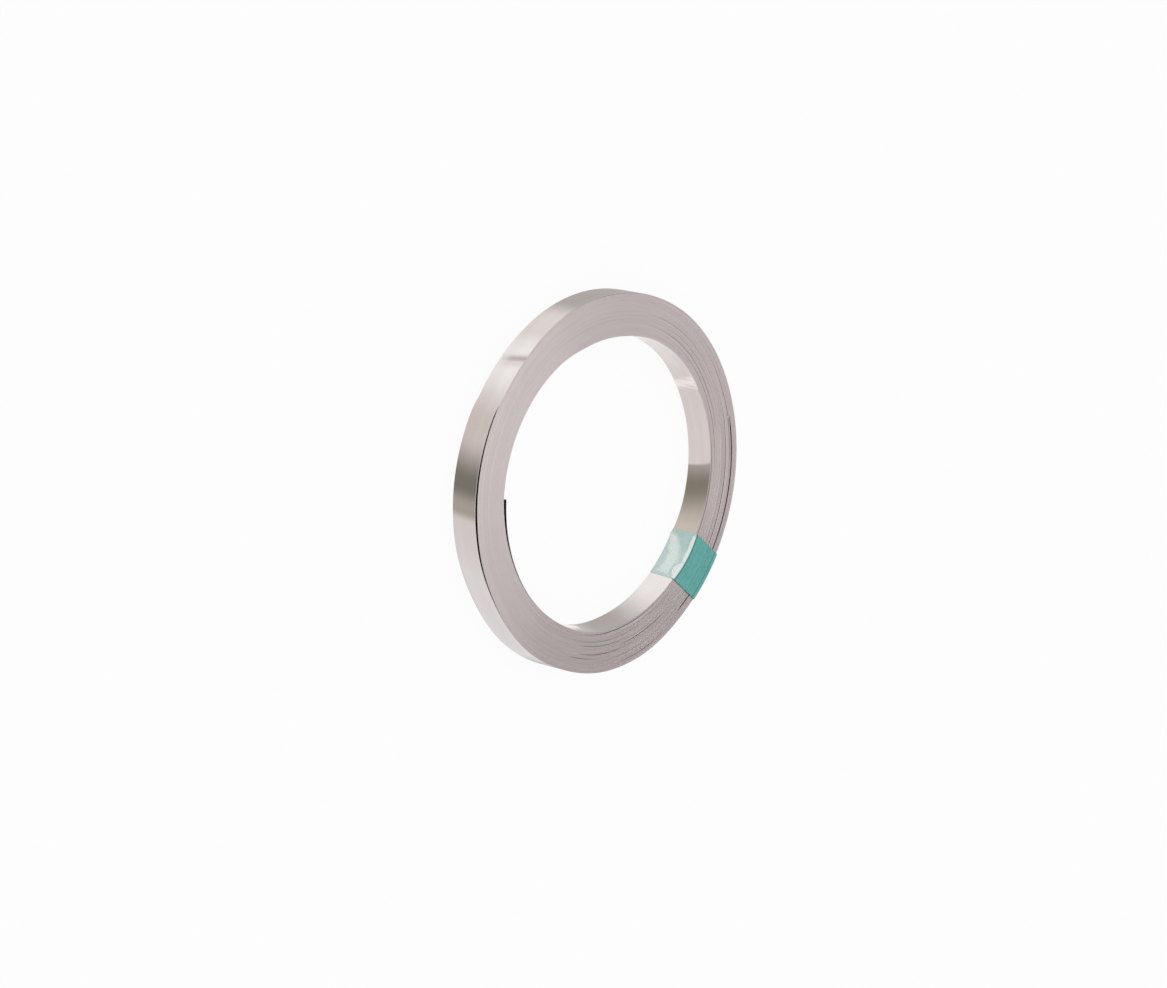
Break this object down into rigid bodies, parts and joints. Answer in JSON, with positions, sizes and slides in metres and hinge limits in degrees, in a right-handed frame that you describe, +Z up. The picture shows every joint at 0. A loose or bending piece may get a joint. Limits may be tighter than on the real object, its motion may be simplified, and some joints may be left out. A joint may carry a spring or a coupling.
{
  "type": "coil of nickel strip",
  "caption": "Flat nickel strip wound turn on turn into a tight open-centred coil, held by a band of green tape.",
  "frame": {"origin": "on the bore's axis, at the level that the coil lies on", "axes": "+Z up along the coil's axis, out of the end that the picture shows; +X to the right across that end in the picture"},
  "size_m": [0.128, 0.128, 0.0106],
  "materials": {
    "nickel": "bright rolled face with satin slit edges",
    "tape": "thin glossy film"
  },
  "bodies": {
    "root": {"strip_coil": "nickel", "tape_band": "tape"}
  },
  "joints": []
}
